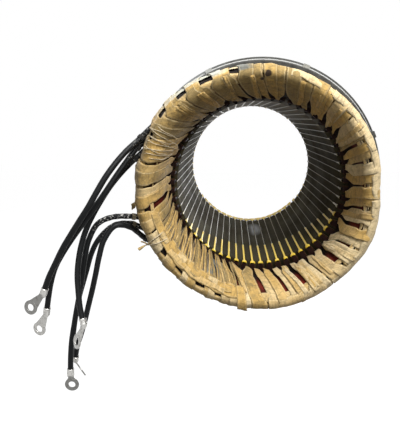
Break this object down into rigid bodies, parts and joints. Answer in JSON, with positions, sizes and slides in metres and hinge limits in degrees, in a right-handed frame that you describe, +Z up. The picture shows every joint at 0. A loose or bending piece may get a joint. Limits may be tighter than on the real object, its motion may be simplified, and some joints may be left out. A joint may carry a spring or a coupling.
{
  "type": "motor stator",
  "caption": "Wound motor stator: slotted laminated steel core with an open rotor bore, taped coil overhangs at both ends and flexible black supply leads with ring lugs.",
  "frame": {"origin": "centre of the core, on its axis and midway along the lamination stack", "axes": "+Y along the axis towards the end without leads, +Z up, leads on the -X side"},
  "size_m": [0.6378, 0.5524, 0.6005],
  "materials": {
    "core_steel": "dark oxide laminations",
    "plate_steel": "dull",
    "liner_film": "yellow insulating film",
    "wedge_strip": "pale varnished strip",
    "coil_varnish": "red-brown varnished wire",
    "cotton_tape": "woven cotton tape",
    "twine": "twisted twine",
    "lead_rubber": "smooth cable sheath",
    "tinned_copper": "tinned"
  },
  "bodies": {
    "root": {"core_stack": "core_steel", "front_end_plate": "plate_steel", "rear_end_plate": "plate_steel", "cleat_1": "plate_steel", "cleat_2": "plate_steel", "cleat_3": "plate_steel", "cleat_4": "plate_steel", "cleat_5": "plate_steel", "cleat_6": "plate_steel", "cleat_7": "plate_steel", "cleat_8": "plate_steel", "slot_liners": "liner_film", "slot_wedges": "wedge_strip", "coil_legs": "coil_varnish", "front_coils": "coil_varnish", "rear_coils": "coil_varnish", "front_taping": "cotton_tape", "rear_taping": "cotton_tape", "lead_tie_1": "twine", "lead_tie_2": "twine", "lead_tie_3": "twine", "lead_tie_4": "twine", "lead_tie_5": "twine", "lead_tie_6": "twine", "lead_1": "lead_rubber", "lead_2": "lead_rubber", "lead_3": "lead_rubber", "lead_4": "lead_rubber", "lead_5": "lead_rubber", "lead_6": "lead_rubber", "lug_1": "tinned_copper", "lug_2": "tinned_copper", "lug_3": "tinned_copper", "lug_4": "tinned_copper", "lug_5": "tinned_copper", "lug_6": "tinned_copper"}
  },
  "joints": []
}
